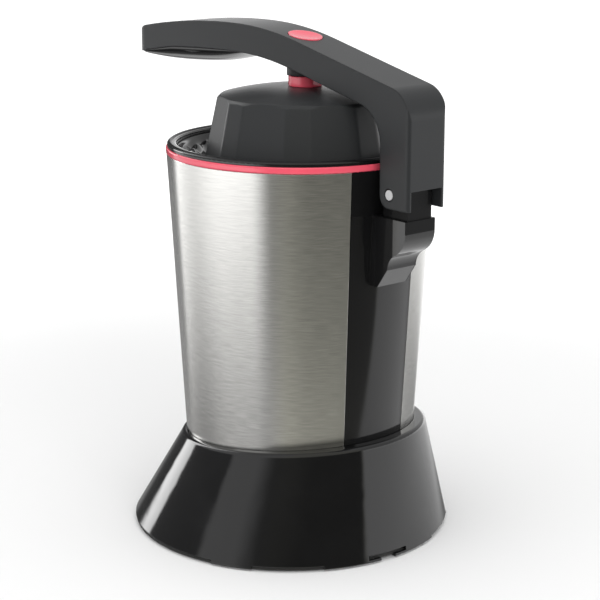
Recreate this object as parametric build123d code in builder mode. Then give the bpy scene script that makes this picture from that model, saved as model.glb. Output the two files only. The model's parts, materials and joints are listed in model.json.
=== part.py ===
from build123d import *
import os
from math import acos, cos, pi, radians, sin, sqrt, tan

os.makedirs("parts", exist_ok=True)

# Citrus press: a tapered steel body on a flared base, a bent lever arm hinged at the rear
# and a faceted dome that presses half a fruit onto a motor-driven cone.
# Millimetres, +Z up, floor at zero, body axis at x = y = 0, spout towards -Y, hinge towards +Y.

# Fits between pieces
panel_gap = 0.3
run_fit = 0.05
seat_fit = 0.02
hex_fit = 0.15

# Base
base_r = 101.9
base_ahead = 9.9
foot_w = 10.0
foot_h = 2.2
foot_inset = 1.5
plate_t = 3.0
skirt_lift = 0.8
skirt_wall = 2.6
skirt_foot_w = 6.0
skirt_round = 1.0
recess_h = 2.6
rim_r = 77.0
rim_back = 4.2
rim_z = 65.6
rim_tilt = 4.6
rim_round = 2.5
ledge_t = 3.0
base_turn = 3.5
rear_land = 24.5
side_land_at = 57.0
side_land = 7.5
front_land = 20.0
slot_bar_w = 29.0
slot_bar_h = 2.7
slot_bar_z = 2.8
slot_notch_w = 11.0

# Body
body_seat = 11.6
body_h = 185.5
body_low_r = 71.8
body_top_r = 82.0
sleeve_t = 0.8
liner_t = 2.2
ring_h = 4.0
ring_w = 3.0
ring_proud = 0.3
deck_drop = 64.0
deck_t = 3.0
column_r = 5.0

# Rear housing and hinge
spine_angle = 18.4
panel_t = 1.8
bracket_lip = 5.7
spine_screw_x = 7.0
spine_screw_up = (12.0, 25.0)
pin_out = 14.4
pin_drop = 11.6
pin_r = 3.5
bush_wall = 1.5
bush_l = 4.0
bracket_w = 23.4
knuckle_w = 19.0
knuckle_r = 10.0
shoulder_drop = 14.6
bracket_h = 57.0

# Arm
arm_w = 30.0
arm_wall = 2.4
ear_t = 3.0
arm_rise = 87.1
arm_t = 17.6
arm_reach = 156.5
peak_ahead = 50.0
front_bend_r = 550.0
rear_bend_r = 270.0
arm_slope = 12.8
elbow_r = 18.0
elbow_in_r = 22.0
leg_back = 15.6
leg_front = 7.6
ear_drop = 8.0
slot_rise = 3.5
tip_round = 11.0
tip_plan_r = 9.0
leg_round = 2.5
belly_deep = 8.6
belly_l = 104.0
belly_at = 55.0
belly_over = 0.5
belly_edge = 0.6
cover_t = 2.2
cover_end = 62.0
cover_screw_y = (-25.0, 35.0)
cover_boss_r = 3.6
hook_ahead = 68.0

# Press head, on the drive axis
press_y = 5.0
dome_r = 53.5
dome_draft = 12.0
dome_h = 36.0
dome_sink = 8.0
dome_wall = 2.6
narrow_facet = 15.0
cap_rise = 6.0
ridge_bevel = 1.8
cap_swell = 1.3
facet_round = 5.0
collar_r = 10.3
collar_h = 6.5
sleeve_r = 11.2
stem_r = 6.8
stem_up = 16.0
stem_tip = 1.0
groove_h = 1.8
groove_deep = 1.1
clip_mouth = 30.0
web_t = 1.4
plunger_r = 4.0
button_r = 10.4
button_travel = 2.5
button_flange_t = 1.6
button_wire = 0.8
button_dish_r = 60.0
button_dish = 0.8
cup_wall = 2.0
cup_flange = 5.0
cup_ribs = 12
cup_rib_h = 2.5
cup_rib_w = 2.0

# Bowl, strainer and reamer
bowl_wall = 2.5
bowl_deep = 38.0
bowl_draft = 4.5
bowl_corner = 14.0
seat_up = 16.0
chimney_up = 24.0
nipple_l = 6.0
flange_t = 2.5
chimney_r = 9.5
drain_ahead = 58.0
drain_r = 6.0
strainer_room = 14.05
strainer_slope = 10.0
strainer_rim = 9.5
strainer_hub_h = 5.0
slot_from = 7.0
slot_w = 1.8
strainer_t = 1.2
strainer_slots = 30
reamer_r = 36.0
reamer_h = 30.0
reamer_lift = 2.0
reamer_skirt_t = 2.0
core_r = 27.0
rib_r = 33.0
reamer_ribs = 10
rib_w = 3.0

# Spout
spout_w = 24.0
spout_wall = 2.2
spout_len = 20.0
lip_r = 10.5
lip_wall = 1.6
pivot_r = 1.7
shield_h = 30.0
shield_t = 1.6
shield_angle = 21.0
gate_start = 215.0
gate_arc = 58.0

# Drive
spindle_r = 4.0
spindle_travel = 3.0
spindle_wire = 1.2
thrust_t = 3.0
yoke_t = 2.5
yoke_w = 6.0
switch_l = 13.0
switch_w = 7.0
switch_h = 13.0
switch_pin_r = 1.5
switch_pin_in = 2.5
gear_room = 50.0
gear_angle = 25.0
backlash = 0.25
fine_module = 1.0
coarse_module = 1.25
pinion_teeth = 12
wheel_teeth = 48
second_teeth = 14
output_teeth = 42
wheel_t = 6.0
output_t = 10.0
output_hub_h = 4.5
axle_boss_h = 1.7
bridge_t = 2.2
bridge_w = 76.0
bridge_l = 46.0
bridge_back = 4.0
bridge_edge = 5.0
axle_r = 3.0
tray_t = 3.0
tray_r = 60.0
post_r = 4.0
motor_r = 33.0
motor_bore = 18.0
stack_h = 40.0
bracket_deep = 14.0
shell_t = 2.0
winding_h = 7.0
winding_gap = 1.5
motor_bush_l = 6.0
rotor_gap = 0.4
motor_shaft_r = 3.0
fan_r = 28.0
fan_h = 9.0
fan_blades = 9
blade_t = 1.4
blade_turn = 12.0
damper_h = 2.5
switch_out = 46.0
screw_r = 1.6
screw_head_r = 3.0
screw_head_h = 1.8
thread_l = 10.0

# Heights and radii worked out from the sizes above
plate_top = foot_h + plate_t
body_z = rim_z - body_seat
body_top = body_z + body_h
taper = (body_top_r - body_low_r) / body_h
ring_top = body_top + ring_h
bowl_top = ring_top + flange_t
deck_z = body_top - deck_drop
pin_y = body_top_r + pin_out
pin_z = body_top - pin_drop
arm_top = pin_z + arm_rise
tray_top = deck_z - gear_room
tray_z = tray_top - tray_t


def body_r(z):
    """Outer radius of the tapered body at a height."""
    return body_low_r + (z - body_z) * taper


def liner_r(z):
    """Outer radius of the inner frame, just inside the steel."""
    return body_r(z) - sleeve_t - panel_gap / 2


def ring_at(x, y, z, outer, inner=0.0):
    """A flat ring or disc, ready to extrude upwards."""
    with BuildSketch(Plane(origin=(x, y, z))) as flat:
        Circle(outer)
        if inner > 0:
            Circle(inner, mode=Mode.SUBTRACT)
    return flat.sketch


def outline(plane, points):
    """A closed face with straight sides."""
    with BuildSketch(plane) as flat:
        with BuildLine():
            Polyline(*points, close=True)
        make_face()
    return flat.sketch


def disc_across(x, y, z, outer, inner=0.0):
    """A flat ring or disc facing along X."""
    with BuildSketch(Plane(origin=(x, y, z), x_dir=(0, 1, 0), z_dir=(1, 0, 0))) as flat:
        Circle(outer)
        if inner > 0:
            Circle(inner, mode=Mode.SUBTRACT)
    return flat.sketch


def wall_section(angle, t):
    """Section of the body's tapered wall, t thick, on the half plane at an angle from +X."""
    with BuildSketch(Plane.XZ.rotated((0, 0, angle))) as flat:
        with BuildLine():
            Polyline(
                (body_low_r - t, body_z), (body_low_r, body_z), (body_top_r, body_top),
                (body_top_r - t, body_top), close=True,
            )
        make_face()
    return flat.sketch


def involute(angle):
    return tan(angle) - angle


def gear_face(x, y, z, teeth, module, first_tooth, bore):
    """Spur gear outline: each flank runs root, pitch point, tip of an involute."""
    pitch = module * teeth / 2
    base = pitch * cos(radians(gear_angle))
    root = pitch - 1.25 * module
    tip = pitch + 0.95 * module
    half_pitch = pi / (2 * teeth) - backlash / (2 * pitch)

    def half_angle(r):
        return half_pitch + involute(radians(gear_angle)) - involute(acos(base / max(r, base)))

    points = []
    for tooth in range(teeth):
        middle = first_tooth + 2 * pi * tooth / teeth
        for side, radii in ((-1, (root, pitch, tip)), (1, (tip, pitch, root))):
            for r in radii:
                turn = middle + side * half_angle(r)
                points.append((r * cos(turn), r * sin(turn)))
    with BuildSketch(Plane(origin=(x, y, z))) as flat:
        with BuildLine():
            Polyline(*points, close=True)
        make_face()
        Circle(bore, mode=Mode.SUBTRACT)
    return flat.sketch


# Rim of the base: a level circle tipped up towards the rear
rim_plane = Plane(
    origin=(0, rim_back, rim_z + rim_back * tan(radians(rim_tilt))),
    x_dir=(1, 0, 0),
    z_dir=(0, -sin(radians(rim_tilt)), cos(radians(rim_tilt))),
)
slot_turn = radians(base_turn)
slot_plane = Plane(
    origin=(0, -base_ahead, 0),
    x_dir=(-cos(slot_turn), sin(slot_turn), 0),
    z_dir=(sin(slot_turn), cos(slot_turn), 0),
)

# Base skirt: slanted flare, open below, with lands, a cord slot and an opening for the body
with BuildPart() as base_skirt:
    with BuildSketch(Plane(origin=(0, -base_ahead, skirt_lift))):
        Circle(base_r)
    with BuildSketch(rim_plane):
        Circle(rim_r)
    loft(ruled=True)
    rounds = base_skirt.edges().filter_by(GeomType.CIRCLE).sort_by(Axis.Z)
    fillet(rounds[0], radius=skirt_round)
    fillet(rounds[-1], radius=rim_round)
    with BuildSketch(Plane(origin=(0, -base_ahead, skirt_lift))):
        Circle(base_r - skirt_foot_w)
    with BuildSketch(rim_plane.offset(-ledge_t)):
        Circle(rim_r - skirt_wall)
    loft(ruled=True, mode=Mode.SUBTRACT)
    with BuildSketch(Plane(origin=(0, -base_ahead, skirt_lift))):
        Circle(base_r + skirt_wall)
        for middle, half in (
            (0, rear_land), (side_land_at, side_land), (-side_land_at, side_land), (180, front_land)
        ):
            reach = 2 * base_r
            left = radians(90 - base_turn - middle - half)
            right = radians(90 - base_turn - middle + half)
            with BuildLine():
                Polyline(
                    (0, 0), (reach * cos(left), reach * sin(left)),
                    (reach * cos(right), reach * sin(right)), close=True,
                )
            make_face(mode=Mode.SUBTRACT)
    extrude(amount=recess_h, mode=Mode.SUBTRACT)
    bar_top = slot_bar_z + slot_bar_h
    cord_slot = outline(slot_plane.offset(base_r - 2 * skirt_foot_w), [
        (-slot_notch_w / 2, 0), (slot_notch_w / 2, 0), (slot_notch_w / 2, slot_bar_z),
        (slot_bar_w / 2, slot_bar_z), (slot_bar_w / 2, bar_top), (-slot_bar_w / 2, bar_top),
        (-slot_bar_w / 2, slot_bar_z), (-slot_notch_w / 2, slot_bar_z),
    ])
    extrude(cord_slot, amount=3 * skirt_foot_w, mode=Mode.SUBTRACT)
    opening_top = rim_z + body_seat
    extrude_h = opening_top - body_z + body_seat
    with Locations((0, 0, body_z - body_seat)):
        Cone(
            body_r(body_z - body_seat) + panel_gap, body_r(opening_top) + panel_gap, extrude_h,
            align=(Align.CENTER, Align.CENTER, Align.MIN), mode=Mode.SUBTRACT,
        )

# Base plate: closes the skirt from below, with vents under the fan and four screw holes
column_at = liner_r(body_z) - column_r - panel_gap
columns = [
    (column_at * cos(radians(a)), column_at * sin(radians(a))) for a in (45, 135, 225, 315)
]
slope_in = (base_r - skirt_foot_w - rim_r + skirt_wall) / (rim_z - ledge_t - skirt_lift)
shift_in = (base_ahead + rim_back) / (rim_z - ledge_t - skirt_lift)
plate_r = base_r - skirt_foot_w - (plate_top - skirt_lift) * (slope_in + shift_in) - 2 * panel_gap
with BuildPart() as base_plate:
    extrude(ring_at(0, -base_ahead, foot_h, plate_r), amount=plate_t)
    with Locations(*[(x, y, foot_h) for x, y in columns]):
        Cylinder(
            screw_r + panel_gap, plate_t,
            align=(Align.CENTER, Align.CENTER, Align.MIN), mode=Mode.SUBTRACT,
        )
    with BuildSketch(Plane.XY.offset(foot_h)):
        with Locations((0, press_y)):
            with PolarLocations(fan_r * 0.62, 12):
                SlotOverall(fan_r * 0.6, 3)
    extrude(amount=plate_t, mode=Mode.SUBTRACT)

foot_out = plate_r - foot_inset
with BuildPart() as foot_ring:
    extrude(ring_at(0, -base_ahead, 0, foot_out, foot_out - foot_w), amount=foot_h)
    fillet(foot_ring.edges().group_by(Axis.Z)[0], radius=foot_h / 4)

with BuildPart() as base_screws:
    for x, y in columns:
        extrude(ring_at(x, y, foot_h - screw_head_h, screw_head_r), amount=screw_head_h)
        extrude(ring_at(x, y, foot_h, screw_r), amount=plate_t + thread_l)

# Spout line: side outline of the spout, shared by the holes that it passes through
bowl_z = ring_top - bowl_deep
spout_z = deck_z + deck_t + 14
spout_end_r = lip_r - lip_wall - panel_gap
pivot_y = -(body_r(spout_z) + spout_len - lip_r)
pivot_z = spout_z + 0.5
spout_back = drain_ahead - 2 * drain_r
spout_points = [
    (-spout_back, spout_z + 9), (-drain_ahead - 2 * drain_r, spout_z + 9),
    (-body_r(spout_z) - spout_wall, spout_z + 5), (pivot_y, spout_z + 3),
    (pivot_y, pivot_z - spout_end_r), (-spout_back, spout_z - 5),
]


def spout_side(grow):
    """Side outline of the spout, grown or shrunk all round."""
    with BuildSketch(Plane.YZ) as flat:
        with BuildLine():
            Polyline(*spout_points, close=True)
        make_face()
        offset(amount=grow)
    return flat.sketch


# Steel sleeve: a thin tapered wrap, open for the rear housing and for the spout
with BuildPart() as steel_sleeve:
    wrap_start = 90 + spine_angle + panel_gap
    wrap_arc = 360 - 2 * (spine_angle + panel_gap)
    revolve(wall_section(wrap_start, sleeve_t), axis=Axis.Z, revolution_arc=wrap_arc)
    extrude(spout_side(panel_gap), amount=spout_w / 2 + panel_gap, both=True, mode=Mode.SUBTRACT)

# Rear housing: panel that closes the gap in the steel, with the hinge bracket and its knuckle
shoulder = pin_z - shoulder_drop
bracket_foot = pin_z - bracket_h
bracket_rear = pin_y + knuckle_r + 1
spine_screw_z = [deck_z + up for up in spine_screw_up]
screw_in = 0.75 * bracket_lip
with BuildPart() as rear_housing:
    revolve(wall_section(90 - spine_angle, panel_t), axis=Axis.Z, revolution_arc=2 * spine_angle)
    with BuildSketch(Plane.YZ):
        with BuildLine():
            inner = body_r(bracket_foot) - panel_t
            Polyline(
                (inner, bracket_foot), (inner, shoulder), (bracket_rear, shoulder),
                (bracket_rear, shoulder - 7),
            )
            swell = TangentArc(
                (bracket_rear, shoulder - 7), (bracket_rear - 8.8, shoulder - 21), tangent=(0, -1)
            )
            hollow = TangentArc(swell @ 1, (bracket_rear - 15.4, shoulder - 31), tangent=swell % 1)
            Polyline(hollow @ 1, (body_r(bracket_foot) + bracket_lip, bracket_foot), (inner, bracket_foot))
        make_face()
    extrude(amount=bracket_w / 2, both=True)
    with BuildSketch(Plane.YZ):
        with Locations((pin_y, pin_z)):
            Circle(knuckle_r)
            Rectangle(2 * knuckle_r, shoulder_drop + 1, align=(Align.CENTER, Align.MAX))
    extrude(amount=knuckle_w / 2, both=True)
    with Locations((0, 0, body_z)):
        Cone(
            body_low_r - panel_t, body_top_r - panel_t, body_h,
            align=(Align.CENTER, Align.CENTER, Align.MIN), mode=Mode.SUBTRACT,
        )
    bush_hole = disc_across(0, pin_y, pin_z, pin_r + bush_wall + seat_fit)
    extrude(bush_hole, amount=arm_w, both=True, mode=Mode.SUBTRACT)
    for z in spine_screw_z:
        inside = Plane(origin=(0, body_r(z) - 2 * panel_t, z), x_dir=(1, 0, 0), z_dir=(0, 1, 0))
        with BuildSketch(inside):
            with GridLocations(2 * spine_screw_x, 1, 2, 1):
                Circle(screw_r + seat_fit)
        extrude(amount=2 * panel_t + screw_in, mode=Mode.SUBTRACT)

with BuildPart() as hinge_bushes:
    for side in (-1, 1):
        x = side * (knuckle_w / 2 - bush_l / 2) - bush_l / 2
        extrude(disc_across(x, pin_y, pin_z, pin_r + bush_wall, pin_r + run_fit), amount=bush_l)

# Inner frame: liner of the body with a deck, legs to the base plate and hangers for the gears
hanger_at = tray_r - 2 * post_r
hangers = [
    (hanger_at * cos(radians(a)), press_y + hanger_at * sin(radians(a))) for a in (35, 145, 215, 325)
]
spindle_bush_r = spindle_r + 3
bush_low = deck_z - 6
bush_high = deck_z + deck_t + 3
deck_top = deck_z + deck_t
with BuildPart() as inner_frame:
    with BuildSketch(Plane.XZ):
        with BuildLine():
            Polyline(
                (liner_r(body_z), body_z), (liner_r(body_top), body_top),
                (liner_r(body_top) - liner_t, body_top), (liner_r(deck_top) - liner_t, deck_top),
                (0, deck_top), (0, deck_z), (liner_r(deck_z) - liner_t, deck_z),
                (liner_r(body_z) - liner_t, body_z), close=True,
            )
        make_face()
    revolve(axis=Axis.Z)
    recess = wall_section(90 - spine_angle - 1, panel_t + panel_gap)
    revolve(recess, axis=Axis.Z, revolution_arc=2 * spine_angle + 2, mode=Mode.SUBTRACT)
    for x, y in columns:
        extrude(ring_at(x, y, plate_top, column_r), amount=body_z + 20 - plate_top)
        extrude(ring_at(x, y, plate_top, screw_r + seat_fit), amount=thread_l + 2, mode=Mode.SUBTRACT)
    for x, y in hangers:
        extrude(ring_at(x, y, tray_top, post_r), amount=gear_room)
        extrude(ring_at(x, y, tray_top, screw_r + seat_fit), amount=thread_l + 2, mode=Mode.SUBTRACT)
    extrude(ring_at(0, press_y, bush_low + 2, spindle_bush_r + 3), amount=bush_high - bush_low - 3)
    extrude(
        ring_at(0, press_y, bush_low - 5, spindle_bush_r + seat_fit), amount=deck_drop, mode=Mode.SUBTRACT
    )
    extrude(spout_side(panel_gap), amount=spout_w / 2 + panel_gap, both=True, mode=Mode.SUBTRACT)
    for z in spine_screw_z:
        with Locations(Plane(origin=(0, body_r(z), z), x_dir=(1, 0, 0), z_dir=(0, 1, 0))):
            with GridLocations(2 * spine_screw_x, 1, 2, 1):
                Cylinder(screw_r + panel_gap / 2, 6 * liner_t, mode=Mode.SUBTRACT)

with BuildPart() as spine_screws:
    for z in spine_screw_z:
        for x in (-spine_screw_x, spine_screw_x):
            side_x = abs(x) + screw_head_r
            inside = sqrt((liner_r(z - screw_head_r) - liner_t) ** 2 - side_x**2) - screw_head_h
            away = Plane(origin=(x, inside, z), x_dir=(1, 0, 0), z_dir=(0, 1, 0))
            with BuildSketch(away):
                Circle(screw_head_r)
            extrude(amount=screw_head_h)
            with BuildSketch(away):
                Circle(screw_r)
            extrude(amount=body_r(z) - inside + screw_in - 1)

# Trim ring round the top of the body
with BuildPart() as trim_ring:
    extrude(ring_at(0, 0, body_top, body_top_r + ring_proud, body_top_r - ring_w), amount=ring_h)
    fillet(trim_ring.faces().sort_by(SortBy.AREA)[-1].edges().filter_by(GeomType.CIRCLE), radius=0.8)

# Juice bowl: flanged bowl with a stepped chimney round the spindle and a drain to the spout
bowl_out_r = liner_r(body_top) - liner_t - panel_gap
bowl_low_r = bowl_out_r - bowl_draft
floor_top = bowl_z + bowl_wall
seat_z = bowl_z + seat_up
chimney_top = bowl_z + chimney_up
chimney_bore = spindle_r + 3
nipple_r = drain_r + 2
with BuildPart() as juice_bowl:
    with BuildSketch(Plane.XZ) as wall:
        with BuildLine():
            Polyline(
                (0, bowl_z), (bowl_low_r, bowl_z), (bowl_out_r, ring_top),
                (body_top_r - 0.5, ring_top), (body_top_r - 0.5, bowl_top),
                (bowl_out_r - bowl_wall, bowl_top), (bowl_low_r - bowl_wall, floor_top),
                (0, floor_top), close=True,
            )
        make_face()
        fillet(wall.vertices().sort_by_distance((bowl_low_r, bowl_z))[0], radius=bowl_corner)
        inner_corner = wall.vertices().sort_by_distance((bowl_low_r - bowl_wall, floor_top))[0]
        fillet(inner_corner, radius=bowl_corner - bowl_wall)
    revolve(axis=Axis.Z)
    fillet(juice_bowl.edges().group_by(Axis.Z)[-1], radius=0.9)
    extrude(ring_at(0, press_y, bowl_z, chimney_r + 3), amount=seat_z - bowl_z)
    extrude(ring_at(0, press_y, bowl_z, chimney_r), amount=chimney_top - bowl_z)
    extrude(ring_at(0, press_y, bowl_z, chimney_bore), amount=bowl_deep, mode=Mode.SUBTRACT)
    drain_z = bowl_z - nipple_l
    extrude(ring_at(0, -drain_ahead, drain_z, nipple_r), amount=nipple_l)
    extrude(ring_at(0, -drain_ahead, drain_z, drain_r), amount=nipple_l + 2 * bowl_wall, mode=Mode.SUBTRACT)

with BuildPart() as spindle_seal:
    extrude(ring_at(0, press_y, chimney_top - 5, chimney_bore - seat_fit, spindle_r + run_fit), amount=4)

# Strainer: dished basket on the chimney's step, with radial slots through floor and wall
strainer_r = bowl_out_r - bowl_wall - strainer_room
strainer_floor_r = strainer_r - strainer_slope
hub_in_r = chimney_r + panel_gap
with BuildPart() as strainer:
    with BuildSketch(Plane(origin=(0, press_y, seat_z), x_dir=(1, 0, 0), z_dir=(0, -1, 0))):
        with BuildLine():
            lip_top = strainer_rim + strainer_t
            hub_out_r = hub_in_r + 2
            Polyline(
                (hub_in_r, 0), (strainer_floor_r, 0), (strainer_r, strainer_rim),
                (strainer_r + 2.5, strainer_rim), (strainer_r + 2.5, lip_top), (strainer_r - 0.7, lip_top),
                (strainer_floor_r - 0.7, strainer_t), (hub_out_r, strainer_t), (hub_out_r, strainer_hub_h),
                (hub_in_r, strainer_hub_h), close=True,
            )
        make_face()
    revolve(axis=Axis(origin=(0, press_y, 0), direction=(0, 0, 1)))
    with BuildSketch(Plane(origin=(0, press_y, seat_z - 1))):
        slot_in = hub_in_r + slot_from
        with PolarLocations((slot_in + strainer_r - 3) / 2, strainer_slots):
            SlotOverall(strainer_r - 3 - slot_in, slot_w)
    extrude(amount=strainer_rim + 1, mode=Mode.SUBTRACT)

# Spout: channel from the drain to a rounded trough, with a shield against the steel
with BuildPart() as spout:
    extrude(spout_side(0), amount=spout_w / 2, both=True)
    with BuildSketch(Plane.YZ):
        with Locations((pivot_y, pivot_z)):
            Circle(spout_end_r)
            Rectangle(4 * lip_r, 2 * lip_r, align=(Align.CENTER, Align.MIN), mode=Mode.SUBTRACT)
    extrude(amount=spout_w / 2, both=True)
    with BuildSketch(Plane.XZ.rotated((0, 0, -90 - shield_angle / 2))):
        with BuildLine():
            low = spout_z - shield_h / 2
            high = spout_z + shield_h / 2
            proud = panel_gap / 2 + shield_t
            Polyline(
                (body_r(low) + panel_gap / 2, low), (body_r(low) + proud, low), (body_r(high) + proud, high),
                (body_r(high) + panel_gap / 2, high), close=True,
            )
        make_face()
    revolve(axis=Axis.Z, revolution_arc=shield_angle)
    channel = spout_w / 2 - spout_wall
    extrude(spout_side(-spout_wall), amount=channel, both=True, mode=Mode.SUBTRACT)
    trough_z = pivot_z - spout_end_r + spout_wall
    trough = outline(Plane.YZ, [
        (pivot_y + lip_r / 2, trough_z), (pivot_y - 3 * lip_r, trough_z),
        (pivot_y - 3 * lip_r, pivot_z + 2 * lip_r), (pivot_y + lip_r / 2, pivot_z + 2 * lip_r),
    ])
    extrude(trough, amount=channel, both=True, mode=Mode.SUBTRACT)
    extrude(ring_at(0, -drain_ahead, spout_z, nipple_r + panel_gap), amount=shield_h, mode=Mode.SUBTRACT)
    pivot_hole = disc_across(0, pivot_y, pivot_z, pivot_r + run_fit)
    extrude(pivot_hole, amount=spout_w, both=True, mode=Mode.SUBTRACT)

# Drip stop: a curved gate that turns up in front of the trough
with BuildPart() as drip_stop:
    with BuildSketch(Plane.YZ):
        with Locations((pivot_y, pivot_z)):
            Circle(lip_r)
            Circle(lip_r - lip_wall, mode=Mode.SUBTRACT)
        reach = 3 * lip_r
        with BuildLine():
            Polyline(
                (pivot_y, pivot_z),
                (pivot_y + reach * cos(radians(gate_start)), pivot_z + reach * sin(radians(gate_start))),
                (pivot_y, pivot_z - 3 * reach),
                (
                    pivot_y + reach * cos(radians(gate_start + gate_arc)),
                    pivot_z + reach * sin(radians(gate_start + gate_arc)),
                ),
                close=True,
            )
        make_face(mode=Mode.INTERSECT)
    extrude(amount=spout_w / 2 + panel_gap + lip_wall, both=True)
    for side in (-1, 1):
        x = side * (spout_w / 2 + panel_gap)
        with BuildSketch(Plane(origin=(x, 0, 0), x_dir=(0, 1, 0), z_dir=(1, 0, 0))):
            with Locations((pivot_y, pivot_z)):
                Circle(lip_r)
            with BuildLine():
                Polyline(
                    (pivot_y, pivot_z + 4),
                    (pivot_y + reach * cos(radians(gate_start)), pivot_z + reach * sin(radians(gate_start))),
                    (pivot_y, pivot_z - 3 * reach),
                    (
                        pivot_y + reach * cos(radians(gate_start + gate_arc)),
                        pivot_z + reach * sin(radians(gate_start + gate_arc)),
                    ),
                    close=True,
                )
            make_face(mode=Mode.INTERSECT)
        extrude(amount=side * lip_wall)
        extrude(disc_across(x, pivot_y, pivot_z, pivot_r), amount=-side * (spout_wall - panel_gap))

# Arm: bent lever, drawn from the side
peak_y = press_y - peak_ahead
tip_y = press_y - arm_reach
leg_rear = pin_y + leg_back
leg_face = pin_y - leg_front
ear_z = pin_z - ear_drop
arm_low = arm_top - arm_t
slope = radians(arm_slope)
bend_z = arm_top - rear_bend_r
low_bend_r = rear_bend_r - arm_t


def front_top(y):
    """Height of the arm's top ahead of its peak."""
    return arm_top - front_bend_r + sqrt(front_bend_r**2 - (y - peak_y) ** 2)


def rear_line(y, r):
    """Height of a line behind the peak: a bend of radius r, then a straight run down its slope."""
    bent = min(y - peak_y, r * sin(slope))
    return bend_z + sqrt(r**2 - bent**2) - (y - peak_y - bent) * tan(slope)


def rear_top(y):
    """Height of the arm's top behind its peak."""
    return rear_line(y, rear_bend_r)


def rear_low(y):
    """Height of the arm's underside behind its peak."""
    return rear_line(y, low_bend_r)


def arm_side():
    """Side outline of the arm, y across and z up: arched top, hooked tip, elbow, leg, rounded ear."""
    top_end = (peak_y + rear_bend_r * sin(slope), bend_z + rear_bend_r * cos(slope))
    low_end = (peak_y + low_bend_r * sin(slope), bend_z + low_bend_r * cos(slope))
    elbow = (leg_rear, top_end[1] - (leg_rear - top_end[0]) * tan(slope))
    elbow_in = (leg_face, low_end[1] - (leg_face - low_end[0]) * tan(slope))
    tip_top = (tip_y + tip_round, front_top(tip_y + tip_round))
    hook = (peak_y - hook_ahead, arm_low - 2.7)
    with BuildSketch() as flat:
        with BuildLine():
            Polyline((leg_face + leg_front, ear_z), (leg_rear, ear_z), elbow, top_end)
            middle = (peak_y + rear_bend_r * sin(slope / 2), bend_z + rear_bend_r * cos(slope / 2))
            ThreePointArc(top_end, middle, (peak_y, arm_top))
            half_way = (peak_y + tip_top[0]) / 2
            front = ThreePointArc((peak_y, arm_top), (half_way, front_top(half_way)), tip_top)
            nose = TangentArc(tip_top, (tip_y, tip_top[1] - tip_round - 1), tangent=front % 1)
            Line(nose @ 1, (tip_y, arm_low - 6.5))
            chin = TangentArc((tip_y, arm_low - 6.5), (tip_y + 2.5, arm_low - 8.7), tangent=(0, -1))
            ThreePointArc(chin @ 1, (hook[0] - 15, arm_low - 5), hook)
            ThreePointArc(hook, (hook[0] + 34, arm_low - 0.7), (peak_y, arm_low))
            middle = (peak_y + low_bend_r * sin(slope / 2), bend_z + low_bend_r * cos(slope / 2))
            ThreePointArc((peak_y, arm_low), middle, low_end)
            Polyline(low_end, elbow_in, (leg_face, ear_z + leg_front))
            TangentArc((leg_face, ear_z + leg_front), (leg_face + leg_front, ear_z), tangent=(0, -1))
        make_face()
        fillet(flat.vertices().sort_by_distance(elbow)[0], radius=elbow_r)
        fillet(flat.vertices().sort_by_distance(elbow_in)[0], radius=elbow_in_r)
    return flat.sketch


def arm_plan(inset):
    """Arm seen from above, drawn in all round: round corners at the tip, smaller ones at the rear."""
    with BuildSketch(Plane.XY.offset(ear_z - arm_t)) as flat:
        with Locations((0, (tip_y + leg_rear) / 2)):
            Rectangle(arm_w - 2 * inset, leg_rear - tip_y - 2 * inset)
        fillet(flat.vertices().group_by(Axis.Y)[0], radius=tip_plan_r - inset)
        if inset == 0:
            fillet(flat.vertices().group_by(Axis.Y)[-1], radius=leg_round)
    return flat.sketch


def underside(depth, grow):
    """Band of the arm's outline along its lower edge, from the tip to the elbow."""
    with BuildSketch(Plane.YZ) as flat:
        add(arm_side())
        add(arm_side().moved(Location((0, depth))), mode=Mode.SUBTRACT)
        with Locations(((tip_y + arm_wall + cover_end) / 2, arm_low)):
            Rectangle(cover_end - tip_y - arm_wall + 2 * grow, 6 * arm_t, mode=Mode.INTERSECT)
    return flat.sketch


inside_half = arm_w / 2 - ear_t
knuckle_clear = pin_z + knuckle_r + 2
button_z = rear_top(press_y)

# Hollow of the arm: the outline drawn in by the wall, and the open underside
with BuildPart() as arm_core:
    with BuildSketch(Plane.YZ):
        add(arm_side())
        for y, z in ((arm_wall, 0), (-arm_wall, 0), (0, arm_wall), (0, -arm_wall)):
            add(arm_side().moved(Location((y, z))), mode=Mode.INTERSECT)
    extrude(amount=inside_half, both=True)
    extrude(underside(arm_wall + panel_gap, 0), amount=inside_half, both=True)
    extrude(arm_plan(ear_t), amount=2 * arm_rise, mode=Mode.INTERSECT)

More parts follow.
